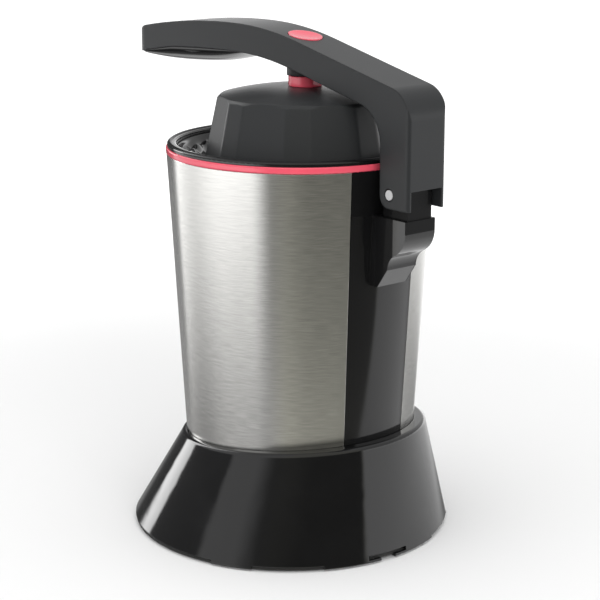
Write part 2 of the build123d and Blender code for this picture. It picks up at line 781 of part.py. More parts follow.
# Arm shell: one moulding with forked ears, bosses for the pin and the cover, and a button hole
with BuildPart() as arm_shell:
    with BuildSketch(Plane.YZ):
        add(arm_side())
    extrude(amount=arm_w / 2, both=True)
    extrude(arm_plan(0), amount=2 * arm_rise, mode=Mode.INTERSECT)
    add(arm_core.part, mode=Mode.SUBTRACT)
    leg_slot = outline(Plane.YZ, [
        (leg_face - 5, ear_z - 5), (leg_rear + 5, ear_z - 5), (leg_rear + 5, pin_z + slot_rise),
        (pin_y, pin_z + slot_rise), (pin_y, knuckle_clear), (leg_face - 5, knuckle_clear),
    ])
    extrude(leg_slot, amount=inside_half, both=True, mode=Mode.SUBTRACT)
    for side in (-1, 1):
        x = side * (knuckle_w / 2 + panel_gap)
        boss = disc_across(x, pin_y, pin_z, pin_r + 2.5)
        extrude(boss, amount=side * (inside_half - knuckle_w / 2))
    extrude(disc_across(0, pin_y, pin_z, pin_r + seat_fit), amount=arm_w, both=True, mode=Mode.SUBTRACT)
    extrude(ring_at(0, press_y, arm_low, button_r + panel_gap), amount=arm_t, mode=Mode.SUBTRACT)
    for y in cover_screw_y:
        boss_low = rear_low(y - cover_boss_r) + cover_t + panel_gap
        extrude(ring_at(0, y, boss_low, cover_boss_r), amount=rear_top(y) - arm_wall / 2 - boss_low)
        extrude(ring_at(0, y, boss_low, screw_r + seat_fit), amount=thread_l, mode=Mode.SUBTRACT)

with BuildPart() as hinge_pin:
    extrude(disc_across(0, pin_y, pin_z, pin_r), amount=arm_w / 2 - 0.2, both=True)
    chamfer(hinge_pin.edges().filter_by(GeomType.CIRCLE), length=0.5)

def palm_swell(lift, half, inset):
    """Egg-shaped swell under the palm, kept below the arm's lower edge raised by lift, and to a half width."""
    with BuildPart() as swell:
        Sphere(belly_deep)
        scale(by=((arm_w / 2 + belly_over) / belly_deep, belly_l / 2 / belly_deep, 1))
    with BuildPart() as below:
        with Locations((0, tip_y + belly_at, arm_low - 1)):
            add(swell.part)
        with BuildSketch(Plane.YZ):
            add(arm_side().moved(Location((0, lift))))
        extrude(amount=arm_w, both=True, mode=Mode.SUBTRACT)
        extrude(arm_plan(inset), amount=2 * arm_rise, mode=Mode.INTERSECT)
        Box(2 * half, 4 * arm_reach, 4 * arm_top, mode=Mode.INTERSECT)
    return below.part


# Underside cover of the arm: a strip between the side walls with a convex palm swell
cover_half = inside_half - panel_gap
with BuildPart() as arm_cover:
    extrude(underside(cover_t, -panel_gap), amount=cover_half, both=True)
    extrude(arm_plan(ear_t + panel_gap), amount=2 * arm_rise, mode=Mode.INTERSECT)
    add(palm_swell(cover_t / 2, cover_half, ear_t + panel_gap))
    add(palm_swell(-panel_gap, arm_w / 2 - belly_edge, belly_edge))
    for y in cover_screw_y:
        pad_top = rear_low(y - cover_boss_r) + cover_t + panel_gap
        head_seat = rear_low(y) + screw_head_h
        pad_z = rear_low(y) + cover_t / 2
        extrude(ring_at(0, y, pad_z, cover_boss_r), amount=pad_top - pad_z)
        extrude(ring_at(0, y, arm_low - arm_t, screw_r + panel_gap / 2), amount=2 * arm_t, mode=Mode.SUBTRACT)
        extrude(
            ring_at(0, y, arm_low - 2 * arm_t, screw_head_r + panel_gap / 2),
            amount=head_seat - arm_low + 2 * arm_t, mode=Mode.SUBTRACT,
        )
    extrude(
        ring_at(0, press_y, arm_low - arm_t, sleeve_r + panel_gap / 2), amount=2 * arm_t, mode=Mode.SUBTRACT
    )

with BuildPart() as arm_screws:
    for y in cover_screw_y:
        head_seat = rear_low(y) + screw_head_h
        extrude(ring_at(0, y, head_seat - screw_head_h, screw_head_r), amount=screw_head_h)
        extrude(ring_at(0, y, head_seat, screw_r), amount=thread_l)

# Press dome: tapered shell with eight broad and eight narrow facets under a shallow cap
dome_z = bowl_top - dome_sink
ridge_z = dome_z + dome_h
dome_low_r = dome_r + dome_h * tan(radians(dome_draft))
boss_z = ridge_z + cap_rise
cavity_top = ridge_z - dome_wall
press_axis = Axis(origin=(0, press_y, 0), direction=(0, 0, 1))
press_side = Plane(origin=(0, press_y, 0), x_dir=(1, 0, 0), z_dir=(0, -1, 0))


def facet_ring(z, inset):
    """Sixteen-sided section of the dome: narrow facets at every eighth of a turn."""
    r = dome_low_r - (z - dome_z) * tan(radians(dome_draft)) - inset
    half = radians(narrow_facet / 2)
    corners = [i * pi / 4 + side * half for i in range(8) for side in (-1, 1)]
    with BuildSketch(Plane(origin=(0, press_y, z))) as flat:
        with BuildLine():
            Polyline(*[(r * cos(a), r * sin(a)) for a in corners], close=True)
        make_face()
        fillet(flat.vertices(), radius=facet_round)
    return flat.sketch


with BuildPart() as press_dome:
    loft([facet_ring(dome_z, 0), facet_ring(boss_z + cap_rise, 0)], ruled=True)
    with BuildSketch(press_side):
        with BuildLine():
            cap_edge = (dome_r - ridge_bevel, ridge_z + ridge_bevel / 2)
            cap_end = (collar_r + 2, boss_z)
            cap_mid = ((cap_edge[0] + cap_end[0]) / 2, (cap_edge[1] + cap_end[1]) / 2 + cap_swell)
            ThreePointArc(cap_edge, cap_mid, cap_end)
            Polyline(
                cap_end, (0, boss_z), (0, dome_z), (dome_low_r + 1, dome_z),
                (dome_low_r + 1, ridge_z - 2 * ridge_bevel), (dome_r - 0.3, ridge_z - ridge_bevel / 3),
                cap_edge,
            )
        make_face()
    revolve(axis=press_axis, mode=Mode.INTERSECT)
    loft([facet_ring(dome_z, dome_wall), facet_ring(cavity_top, dome_wall)], ruled=True, mode=Mode.SUBTRACT)
    extrude(ring_at(0, press_y, ridge_z, stem_r + seat_fit), amount=2 * cap_rise, mode=Mode.SUBTRACT)

# Dome cup: domed liner with grip ribs that hold the fruit
cavity_r = dome_low_r - dome_wall - cup_wall * tan(radians(dome_draft))
cup_r = cavity_r * cos(radians((45 - narrow_facet) / 2)) - panel_gap
cup_in_r = cup_r - cup_flange
cup_rise = cavity_top - dome_z - cup_wall - panel_gap
cup_sphere = (cup_in_r**2 + cup_rise**2) / (2 * cup_rise)
cup_centre = (0, dome_z + cup_rise - cup_sphere)
with BuildPart() as dome_cup:
    with BuildSketch(press_side):
        with Locations(cup_centre):
            Circle(cup_sphere + cup_wall)
        with Locations((0, dome_z)):
            Rectangle(2 * cup_r, 2 * cup_rise, align=(Align.MIN, Align.MIN), mode=Mode.INTERSECT)
            Rectangle(cup_r, cup_wall, align=(Align.MIN, Align.MIN))
        with Locations(cup_centre):
            Circle(cup_sphere, mode=Mode.SUBTRACT)
    revolve(axis=press_axis)
    for i in range(cup_ribs):
        a = 2 * pi * i / cup_ribs
        rib_plane = Plane(origin=(0, press_y, 0), x_dir=(cos(a), sin(a), 0), z_dir=(sin(a), -cos(a), 0))
        with BuildSketch(rib_plane):
            with Locations(cup_centre):
                Circle(cup_sphere + cup_wall / 2)
                Circle(cup_sphere - cup_rib_h, mode=Mode.SUBTRACT)
            with Locations((cup_in_r / 3, dome_z + cup_wall)):
                Rectangle(cup_r, cup_rise, align=(Align.MIN, Align.MIN), mode=Mode.INTERSECT)
        extrude(amount=cup_rib_w / 2, both=True)

# Stem, collar, clip and sleeve that hang the dome on the arm
collar_top = boss_z + collar_h
sleeve_z = collar_top + panel_gap
stem_top = boss_z + stem_up
web_z = stem_top + 2 * panel_gap
web_top = web_z + web_t
groove_z = stem_top - 2 * groove_h - stem_tip
groove_r = stem_r - groove_deep
with BuildPart() as dome_stem:
    extrude(ring_at(0, press_y, ridge_z, stem_r), amount=stem_top - ridge_z)
    chamfer(dome_stem.edges().group_by(Axis.Z)[-1], length=stem_tip)
    extrude(ring_at(0, press_y, groove_z, stem_r + 1, groove_r), amount=groove_h, mode=Mode.SUBTRACT)

with BuildPart() as dome_collar:
    extrude(ring_at(0, press_y, boss_z, collar_r, stem_r + seat_fit), amount=collar_h)
    collar_edges = dome_collar.faces().sort_by(SortBy.AREA)[-1].edges().filter_by(GeomType.CIRCLE)
    fillet(collar_edges, radius=2 * panel_gap)

bore_r = stem_r + panel_gap
with BuildPart() as stem_sleeve:
    extrude(ring_at(0, press_y, sleeve_z, sleeve_r, bore_r), amount=web_z - sleeve_z)
    extrude(ring_at(0, press_y, web_z, sleeve_r, plunger_r + panel_gap), amount=web_t)

with BuildPart() as retaining_clip:
    clip_z = groove_z + run_fit
    extrude(ring_at(0, press_y, clip_z, bore_r - run_fit, groove_r + run_fit), amount=groove_h - 2 * run_fit)
    mouth_x = 2 * stem_r
    mouth_y = mouth_x * tan(radians(clip_mouth / 2))
    mouth = outline(Plane(origin=(0, press_y, groove_z)), [(0, 0), (mouth_x, -mouth_y), (mouth_x, mouth_y)])
    extrude(mouth, amount=groove_h, mode=Mode.SUBTRACT)

# Release button: dished red cap in the arm's top, with a plunger and a return spring
flange_r = button_r + 1
flange_z = rear_top(press_y + flange_r) - 1.2 * arm_wall - button_flange_t
cap_plane = Plane(
    origin=(0, press_y, button_z + panel_gap),
    x_dir=(1, 0, 0),
    z_dir=(0, peak_ahead / rear_bend_r, sqrt(1 - (peak_ahead / rear_bend_r) ** 2)),
)
with BuildPart() as release_button:
    extrude(ring_at(0, press_y, flange_z, flange_r), amount=button_flange_t)
    extrude(ring_at(0, press_y, flange_z, button_r), amount=arm_t)
    split(bisect_by=cap_plane, keep=Keep.BOTTOM)
    with Locations(cap_plane.offset(button_dish_r - button_dish)):
        Sphere(button_dish_r, mode=Mode.SUBTRACT)
    plunger_z = stem_top + button_travel + panel_gap
    extrude(ring_at(0, press_y, plunger_z, plunger_r), amount=flange_z - plunger_z)


def helix_spring(x, y, low, high, r, wire, turns):
    """Coil spring of round wire between two levels."""
    with BuildPart() as spring:
        with BuildLine() as path:
            Helix((high - low - wire) / turns, high - low - wire, r, center=(x, y, low + wire / 2))
        with BuildSketch(Plane(origin=path.line @ 0, z_dir=path.line % 0)):
            RegularPolygon(wire / 2, 6)
        sweep(path=path.line, is_frenet=True)
    return spring


button_spring = helix_spring(0, press_y, web_top, flange_z, plunger_r + 2 * button_wire, button_wire, 3)

# Reamer: ribbed cone on the spindle's hexagon, hollow below
reamer_z = chimney_top + reamer_lift
reamer_top = reamer_z + reamer_h
skirt_top = reamer_z + reamer_skirt_t
hub_low = reamer_z + spindle_travel
hub_r = spindle_r + 4
hex_top = reamer_z + reamer_h * 0.6


def cone_side(r, top):
    """Half of the cone's side view: a bulged line from its foot to its tip."""
    with BuildSketch(press_side) as flat:
        with BuildLine():
            Polyline((0, top), (0, reamer_z), (r, reamer_z), (r, skirt_top))
            ThreePointArc((r, skirt_top), (r * 0.72, reamer_z + 0.6 * (top - reamer_z)), (0, top))
        make_face()
    return flat.sketch


with BuildPart() as reamer:
    revolve(cone_side(core_r, reamer_top - rib_w / 2), axis=press_axis)
    extrude(ring_at(0, press_y, reamer_z, reamer_r), amount=reamer_skirt_t)
    for i in range(reamer_ribs):
        turn = Rot(0, 0, 360 * i / reamer_ribs)
        rib = Pos(0, press_y, 0) * turn * Pos(0, -press_y, 0) * cone_side(rib_r, reamer_top)
        extrude(rib, amount=rib_w / 2, both=True)
    with BuildSketch(press_side):
        with BuildLine():
            Polyline(
                (0, reamer_z), (core_r - bowl_wall, reamer_z), (core_r * 0.55, hex_top), (hub_r, hex_top),
                (hub_r, hub_low), (0, hub_low), close=True,
            )
        make_face()
    revolve(axis=press_axis, mode=Mode.SUBTRACT)
    with BuildSketch(Plane(origin=(0, press_y, reamer_z))):
        RegularPolygon(spindle_r + hex_fit, 6)
    extrude(amount=hex_top - reamer_z, mode=Mode.SUBTRACT)

# Spindle: hexagon ends with a round bearing length and a thrust collar
spindle_z = tray_top + 15
thrust_top = bush_low - panel_gap
thrust_z = thrust_top - thrust_t
with BuildPart() as spindle:
    with BuildSketch(Plane(origin=(0, press_y, spindle_z))):
        RegularPolygon(spindle_r, 6)
    extrude(amount=hex_top - panel_gap - spindle_z)
    extrude(ring_at(0, press_y, thrust_z, spindle_r), amount=chimney_top - thrust_z)
    extrude(ring_at(0, press_y, thrust_z, 2 * spindle_r), amount=thrust_top - thrust_z)

with BuildPart() as spindle_bush:
    extrude(ring_at(0, press_y, bush_low, spindle_bush_r, spindle_r + run_fit), amount=bush_high - bush_low)

# Press yoke: follows the spindle down and works the switch
yoke_top = thrust_z - panel_gap
yoke_z = yoke_top - yoke_t
switch_top = yoke_z - 1.5 * spindle_travel
switch_z = switch_top - switch_h
with BuildPart() as press_yoke:
    with BuildSketch(Plane(origin=(0, press_y, yoke_z))):
        Circle(2 * spindle_r)
        with Locations((switch_out / 2, 0)):
            Rectangle(switch_out + yoke_w, yoke_w)
        Circle(spindle_r + panel_gap, mode=Mode.SUBTRACT)
    extrude(amount=yoke_t)

with BuildPart() as switch_plunger:
    plunger_low = switch_top - switch_pin_in
    extrude(ring_at(switch_out, press_y, plunger_low, switch_pin_r), amount=yoke_z - plunger_low)

with BuildPart() as start_switch:
    with BuildSketch(Plane(origin=(switch_out, press_y, switch_z))):
        Rectangle(switch_l, switch_w)
    extrude(amount=switch_h)
    pin_hole = switch_pin_in + spindle_travel + panel_gap
    extrude(
        ring_at(switch_out, press_y, switch_top - pin_hole, switch_pin_r + run_fit), amount=pin_hole,
        mode=Mode.SUBTRACT,
    )

# Gear train: motor pinion, compound gear on a fixed axle, output gear round the spindle
wheel_y = press_y + coarse_module * (second_teeth + output_teeth) / 2
motor_y = wheel_y - fine_module * (pinion_teeth + wheel_teeth) / 2
wheel_z = tray_top + axle_boss_h + panel_gap
wheel_top = wheel_z + wheel_t
bridge_z = wheel_top + axle_boss_h + panel_gap
output_z = bridge_z + bridge_t + panel_gap
output_top = output_z + output_t
hub_top = output_top + output_hub_h
pinion_z = wheel_z - 2 * panel_gap
pinion_top = bridge_z - panel_gap
north = pi / 2
with BuildPart() as output_gear:
    extrude(
        gear_face(0, press_y, output_z, output_teeth, coarse_module, north, spindle_r + 1), amount=output_t
    )
    extrude(ring_at(0, press_y, bridge_z, 2 * spindle_r), amount=output_z - bridge_z)
    extrude(ring_at(0, press_y, output_z, 2.5 * spindle_r), amount=hub_top - output_z)
    with BuildSketch(Plane(origin=(0, press_y, bridge_z))):
        RegularPolygon(spindle_r + hex_fit, 6)
    extrude(amount=gear_room, mode=Mode.SUBTRACT)

with BuildPart() as compound_gear:
    bore = axle_r + run_fit
    extrude(
        gear_face(0, wheel_y, wheel_z, wheel_teeth, fine_module, -north + pi / wheel_teeth, bore),
        amount=wheel_t,
    )
    extrude(
        gear_face(0, wheel_y, wheel_top, second_teeth, coarse_module, -north + pi / second_teeth, bore),
        amount=output_top + panel_gap - wheel_top,
    )

with BuildPart() as gear_axle:
    extrude(ring_at(0, wheel_y, tray_z, axle_r), amount=output_top + axle_boss_h - tray_z)

with BuildPart() as motor_pinion:
    extrude(
        gear_face(0, motor_y, pinion_z, pinion_teeth, fine_module, north, motor_shaft_r + seat_fit),
        amount=pinion_top - pinion_z,
    )

# Gear tray with posts for the bridge, a boss for the axle and a pillar for the switch
bridge_y = press_y + bridge_back
post_x = bridge_w / 2 - bridge_edge
post_y = bridge_l / 2 - bridge_edge
bridge_posts = [(x, bridge_y + y) for x in (-post_x, post_x) for y in (-post_y, post_y)]
motor_screw_at = motor_r - 7
motor_screw_spots = [
    (motor_screw_at * cos(radians(a)), motor_y + motor_screw_at * sin(radians(a))) for a in (20, 160, 270)
]
with BuildPart() as gear_tray:
    extrude(ring_at(0, press_y, tray_z, tray_r), amount=tray_t)
    for x, y in bridge_posts:
        extrude(ring_at(x, y, tray_top, post_r), amount=bridge_z - tray_top)
    extrude(ring_at(0, wheel_y, tray_top, 2 * axle_r), amount=axle_boss_h)
    with BuildSketch(Plane(origin=(switch_out, press_y, tray_top))):
        Rectangle(switch_l, switch_w)
    extrude(amount=switch_z - tray_top)
    extrude(ring_at(0, wheel_y, tray_z, axle_r + seat_fit), amount=gear_room, mode=Mode.SUBTRACT)
    extrude(ring_at(0, motor_y, tray_z, 2 * motor_shaft_r), amount=2 * tray_t, mode=Mode.SUBTRACT)
    for x, y in hangers + motor_screw_spots:
        extrude(ring_at(x, y, tray_z, screw_r + panel_gap / 2), amount=tray_t, mode=Mode.SUBTRACT)
    for x, y in bridge_posts:
        extrude(ring_at(x, y, tray_top, screw_r + seat_fit), amount=gear_room, mode=Mode.SUBTRACT)

with BuildPart() as gear_bridge:
    second_hole = coarse_module * (second_teeth / 2 + 1) + 1
    with BuildSketch(Plane(origin=(0, bridge_y, bridge_z))):
        RectangleRounded(bridge_w, bridge_l, bridge_edge)
        with Locations((0, wheel_y - bridge_y)):
            Circle(second_hole + bridge_edge)
            Circle(second_hole, mode=Mode.SUBTRACT)
        with Locations((0, press_y - bridge_y)):
            Circle(2 * spindle_r + run_fit, mode=Mode.SUBTRACT)
        with GridLocations(2 * post_x, 2 * post_y, 2, 2):
            Circle(screw_r + panel_gap / 2, mode=Mode.SUBTRACT)
    extrude(amount=bridge_t)

with BuildPart() as gear_screws:
    for x, y in bridge_posts:
        extrude(ring_at(x, y, bridge_z + bridge_t, screw_head_r), amount=screw_head_h)
        extrude(ring_at(x, y, tray_top + bridge_t, screw_r), amount=bridge_z - tray_top)
    for x, y in hangers:
        extrude(ring_at(x, y, tray_z - screw_head_h, screw_head_r), amount=screw_head_h)
        extrude(ring_at(x, y, tray_z, screw_r), amount=tray_t + thread_l)

spindle_coil_r = 2 * (spindle_r - spindle_wire)
spindle_spring = helix_spring(0, press_y, hub_top, yoke_z, spindle_coil_r, spindle_wire, 4)

# Motor: laminated stack and windings between two cupped brackets, hung from the tray
motor_top = tray_z - damper_h
stack_top = motor_top - bracket_deep
stack_z = stack_top - stack_h
motor_z = stack_z - bracket_deep
motor_bush_r = motor_shaft_r + bush_wall + 1.5
with BuildPart() as motor_stack:
    extrude(ring_at(0, motor_y, stack_z, motor_r, motor_bore), amount=stack_h)

with BuildPart() as motor_windings:
    for z in (stack_top, stack_z - winding_h):
        extrude(ring_at(0, motor_y, z, motor_r - 2 * shell_t, motor_bore + winding_gap), amount=winding_h)

with BuildPart() as motor_brackets:
    for z, end in ((stack_top, motor_top - shell_t), (motor_z, motor_z)):
        extrude(ring_at(0, motor_y, z, motor_r, motor_r - shell_t), amount=bracket_deep)
        extrude(ring_at(0, motor_y, end, motor_r - shell_t / 2, motor_bush_r + seat_fit), amount=shell_t)
    for z in (motor_top - motor_bush_l, motor_z):
        extrude(ring_at(0, motor_y, z, motor_bush_r + shell_t, motor_bush_r + seat_fit), amount=motor_bush_l)
    for x, y in motor_screw_spots:
        extrude(ring_at(x, y, motor_top - motor_bush_l, screw_head_r), amount=motor_bush_l - shell_t / 2)
        pilot = ring_at(x, y, motor_top - motor_bush_l, screw_r + seat_fit)
        extrude(pilot, amount=motor_bush_l, mode=Mode.SUBTRACT)

with BuildPart() as motor_bushes:
    for z in (motor_top - motor_bush_l, motor_z):
        extrude(ring_at(0, motor_y, z, motor_bush_r, motor_shaft_r + run_fit), amount=motor_bush_l)

with BuildPart() as motor_rotor:
    rotor_z = stack_z + winding_gap
    extrude(
        ring_at(0, motor_y, rotor_z, motor_bore - rotor_gap, motor_shaft_r + seat_fit),
        amount=stack_h - 2 * winding_gap,
    )

fan_z = motor_z - shell_t - fan_h
fan_hub_r = motor_shaft_r + 4
with BuildPart() as motor_shaft:
    extrude(ring_at(0, motor_y, fan_z - shell_t, motor_shaft_r), amount=pinion_top - fan_z + shell_t)

with BuildPart() as cooling_fan:
    extrude(ring_at(0, motor_y, fan_z, fan_hub_r, motor_shaft_r + seat_fit), amount=fan_h)
    disc_z = fan_z + fan_h - blade_t
    extrude(ring_at(0, motor_y, disc_z, fan_r, fan_hub_r - 1), amount=blade_t)
    with BuildSketch(Plane(origin=(0, motor_y, fan_z))):
        with PolarLocations(fan_hub_r - 1, fan_blades):
            Rectangle(fan_r - fan_hub_r, blade_t, align=(Align.MIN, Align.CENTER), rotation=blade_turn)
    extrude(amount=fan_h - blade_t / 2)

with BuildPart() as motor_dampers:
    for x, y in motor_screw_spots:
        extrude(ring_at(x, y, motor_top, screw_head_r + shell_t, screw_r + panel_gap), amount=damper_h)

with BuildPart() as motor_screws:
    for x, y in motor_screw_spots:
        extrude(ring_at(x, y, tray_top, screw_head_r), amount=screw_head_h)
        extrude(ring_at(x, y, motor_top - motor_bush_l, screw_r), amount=tray_top - motor_top + motor_bush_l)

parts = {
    "base_skirt": base_skirt, "base_plate": base_plate, "foot_ring": foot_ring,
    "base_screws": base_screws, "steel_sleeve": steel_sleeve, "rear_housing": rear_housing,
    "hinge_bushes": hinge_bushes, "inner_frame": inner_frame, "spine_screws": spine_screws,
    "trim_ring": trim_ring, "juice_bowl": juice_bowl, "spindle_seal": spindle_seal,
    "strainer": strainer, "spout": spout, "drip_stop": drip_stop, "arm_shell": arm_shell,
    "hinge_pin": hinge_pin, "arm_cover": arm_cover, "arm_screws": arm_screws, "press_dome": press_dome,
    "dome_cup": dome_cup, "dome_stem": dome_stem, "dome_collar": dome_collar,
    "stem_sleeve": stem_sleeve, "retaining_clip": retaining_clip, "release_button": release_button,
    "button_spring": button_spring, "reamer": reamer, "spindle": spindle, "spindle_bush": spindle_bush,
    "press_yoke": press_yoke, "switch_plunger": switch_plunger, "start_switch": start_switch,
    "output_gear": output_gear, "compound_gear": compound_gear, "gear_axle": gear_axle,
    "motor_pinion": motor_pinion, "gear_tray": gear_tray, "gear_bridge": gear_bridge,
    "gear_screws": gear_screws, "spindle_spring": spindle_spring, "motor_stack": motor_stack,
    "motor_windings": motor_windings, "motor_brackets": motor_brackets, "motor_bushes": motor_bushes,
    "motor_rotor": motor_rotor, "motor_shaft": motor_shaft, "cooling_fan": cooling_fan,
    "motor_dampers": motor_dampers, "motor_screws": motor_screws,
}
for name, piece in parts.items():
    piece.part.label = name
    export_step(piece.part, f"parts/{name}.step")
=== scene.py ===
import json
import math

import bmesh
import bpy
import numpy as np
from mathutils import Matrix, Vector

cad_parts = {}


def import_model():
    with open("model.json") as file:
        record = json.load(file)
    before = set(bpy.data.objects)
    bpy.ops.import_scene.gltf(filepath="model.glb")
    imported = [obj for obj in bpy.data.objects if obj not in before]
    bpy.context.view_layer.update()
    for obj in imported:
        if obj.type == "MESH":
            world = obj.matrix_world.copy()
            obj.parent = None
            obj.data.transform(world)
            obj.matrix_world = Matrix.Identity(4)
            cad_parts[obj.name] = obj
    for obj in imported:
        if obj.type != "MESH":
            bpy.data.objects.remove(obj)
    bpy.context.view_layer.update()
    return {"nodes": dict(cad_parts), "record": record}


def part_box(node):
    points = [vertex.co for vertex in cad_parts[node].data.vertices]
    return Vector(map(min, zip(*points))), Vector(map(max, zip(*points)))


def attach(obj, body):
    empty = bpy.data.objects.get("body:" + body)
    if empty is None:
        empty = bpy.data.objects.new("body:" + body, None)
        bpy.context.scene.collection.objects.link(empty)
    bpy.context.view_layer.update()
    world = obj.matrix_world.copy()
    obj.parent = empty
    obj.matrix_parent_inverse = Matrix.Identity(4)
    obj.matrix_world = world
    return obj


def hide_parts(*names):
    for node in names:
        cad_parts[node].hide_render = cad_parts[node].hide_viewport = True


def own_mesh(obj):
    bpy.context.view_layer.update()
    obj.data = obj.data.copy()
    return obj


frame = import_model()
nodes = frame["nodes"]
scene = bpy.context.scene
scene.view_settings.view_transform = "Standard"
mm = 0.001


class Sock:
    """A shader socket whose operators add Math nodes, so a mask is written as an expression."""

    def __init__(self, shader, socket):
        self.shader = shader
        self.socket = socket

    def maths(self, operation, *values):
        return self.shader.node("ShaderNodeMath", {"operation": operation}, dict(enumerate(values)))

    def __add__(self, other):
        return self.maths("ADD", self, other)

    def __radd__(self, other):
        return self.maths("ADD", other, self)

    def __sub__(self, other):
        return self.maths("SUBTRACT", self, other)

    def __rsub__(self, other):
        return self.maths("SUBTRACT", other, self)

    def __mul__(self, other):
        return self.maths("MULTIPLY", self, other)

    def __rmul__(self, other):
        return self.maths("MULTIPLY", other, self)

    def __truediv__(self, other):
        return self.maths("DIVIDE", self, other)

    def __pow__(self, other):
        return self.maths("POWER", self, other)

    def sine(self):
        return self.maths("SINE", self)

    def arcsine(self):
        return self.maths("ARCSINE", self)

    def atan2(self, other):
        return self.maths("ARCTAN2", self, other)

    def at_least(self, low):
        return self.maths("MAXIMUM", self, low)

    def ping_pong(self, reach):
        """Up from 0 to reach and down again, over and over."""
        return self.maths("PINGPONG", self, reach)

    def clamp(self):
        """No less than 0 and no more than 1."""
        return self.shader.node("ShaderNodeClamp", {}, {"Value": self})

    def step(self, low, high):
        """0 below low, 1 above high, smooth between."""
        return self.shader.node(
            "ShaderNodeMapRange",
            {"interpolation_type": "SMOOTHSTEP"},
            {"Value": self, "From Min": low, "From Max": high},
        )

    def part(self, name):
        """Another output of the same node."""
        return Sock(self.shader, self.socket.node.outputs[name])


class Shader:
    """The nodes of one material or world."""

    def __init__(self, owner):
        owner.use_nodes = True
        self.tree = owner.node_tree
        self.tree.nodes.clear()

    def node(self, kind, settings, sockets, out=0):
        """Any node: its settings are made first, then its sockets get their values or links."""
        made = self.tree.nodes.new(kind)
        for key, value in settings.items():
            setattr(made, key, value)
        for key, value in sockets.items():
            if isinstance(value, Sock):
                self.tree.links.new(value.socket, made.inputs[key])
            else:
                made.inputs[key].default_value = value
        return Sock(self, made.outputs[out]) if len(made.outputs) else None

    def place(self):
        return self.node("ShaderNodeTexCoord", {}, {}, "Object")

    def axes(self, vector):
        x = self.node("ShaderNodeSeparateXYZ", {}, {"Vector": vector}, "X")
        return x, x.part("Y"), x.part("Z")

    def join(self, x, y, z):
        return self.node("ShaderNodeCombineXYZ", {}, {"X": x, "Y": y, "Z": z})

    def noise(self, vector, scale, detail=2.0, rough=0.5):
        sockets = {"Vector": vector, "Scale": scale, "Detail": detail, "Roughness": rough}
        return self.node("ShaderNodeTexNoise", {}, sockets)

    def blend(self, factor, first, second):
        """Mix of two colours, whose sockets on the Mix node go by number."""
        sockets = {0: factor, 6: first, 7: second}
        return self.node("ShaderNodeMix", {"data_type": "RGBA"}, sockets, out=2)

    def bump(self, height, strength, distance, edge=0.4 * mm):
        """Fine relief on top of edges that are rounded off by a small radius."""
        soft = self.node("ShaderNodeBevel", {"samples": 6}, {"Radius": edge}, "Normal")
        sockets = {"Height": height, "Strength": strength, "Distance": distance, "Normal": soft}
        return self.node("ShaderNodeBump", {}, sockets, "Normal")

    def surface(self, **sockets):
        """The one shader of a finish; an underscore stands for the space in a socket's name."""
        named = {key.replace("_", " "): value for key, value in sockets.items()}
        self.close(self.node("ShaderNodeBsdfPrincipled", {}, named, "BSDF"))

    def close(self, shader, kind="ShaderNodeOutputMaterial"):
        self.node(kind, {}, {"Surface": shader})


def new_material(name):
    material = bpy.data.materials.new(name)
    return material, Shader(material)


def shade(base, factor=1.0, lift=0.0):
    """A colour made lighter or darker, as the four numbers of a colour socket."""
    return (*(min(1.0, channel * factor + lift) for channel in base), 1.0)


def hand_haze(s, at):
    """Broad soft patches, where hands wipe a gloss surface."""
    return s.noise(at, scale=38.0, detail=3.0, rough=0.55).step(0.45, 0.75)


def orange_peel(s, at):
    """The faint ripple of a gloss surface."""
    return s.bump(s.noise(at, scale=60.0), strength=0.25, distance=0.02 * mm, edge=0.7 * mm)


def gloss_plastic(name, base, rough):
    """High gloss moulding: faint orange peel, a few hazy patches where hands wipe it."""
    material, s = new_material(name)
    at = s.place()
    haze = hand_haze(s, at)
    fine = s.noise(at, scale=900.0)
    s.surface(
        Base_Color=s.blend(haze * 0.35, shade(base), shade(base, 1.25, 0.002)),
        Roughness=haze * 0.05 + fine * 0.02 + rough,
        Normal=orange_peel(s, at),
        IOR=1.5,
        Specular_IOR_Level=0.5,
    )
    return material


def housing_plastic(name, base, rear_face_y):
    """Gloss lacquer on black, matt on the hinge knuckle, the upper rear face and the bracket's sides."""
    knuckle_z, rear_z, soft_z = 213.3 * mm, 205.8 * mm, 0.4 * mm
    rear_y, soft_y = rear_face_y - 0.2 * mm, 0.3 * mm
    side_x_from, side_x_full = 11.0 * mm, 11.4 * mm
    side_y_from, side_y_full = 81.5 * mm, 83.5 * mm
    side_y_fades, side_y_ends = 96.2 * mm, 97.4 * mm
    matt_share = 0.9
    material, s = new_material(name)
    at = s.place()
    x, y, z = s.axes(at)
    haze = hand_haze(s, at)
    knuckle = z.step(knuckle_z - soft_z, knuckle_z + soft_z)
    rear = z.step(rear_z - soft_z, rear_z + soft_z) * y.step(rear_y - soft_y, rear_y)
    side_depth = y.step(side_y_from, side_y_full) * (1.0 - y.step(side_y_fades, side_y_ends))
    side = (x * x).step(side_x_from**2, side_x_full**2) * side_depth
    s.surface(
        Base_Color=s.blend(haze * 0.35, shade(base), shade(base, 1.3)),
        Roughness=haze * 0.1 + 0.5,
        Specular_IOR_Level=0.08,
        Coat_Weight=1.0 - (knuckle + rear + side).clamp() * matt_share,
        Coat_Roughness=0.07,
        Coat_IOR=1.5,
        Normal=orange_peel(s, at),
    )
    return material


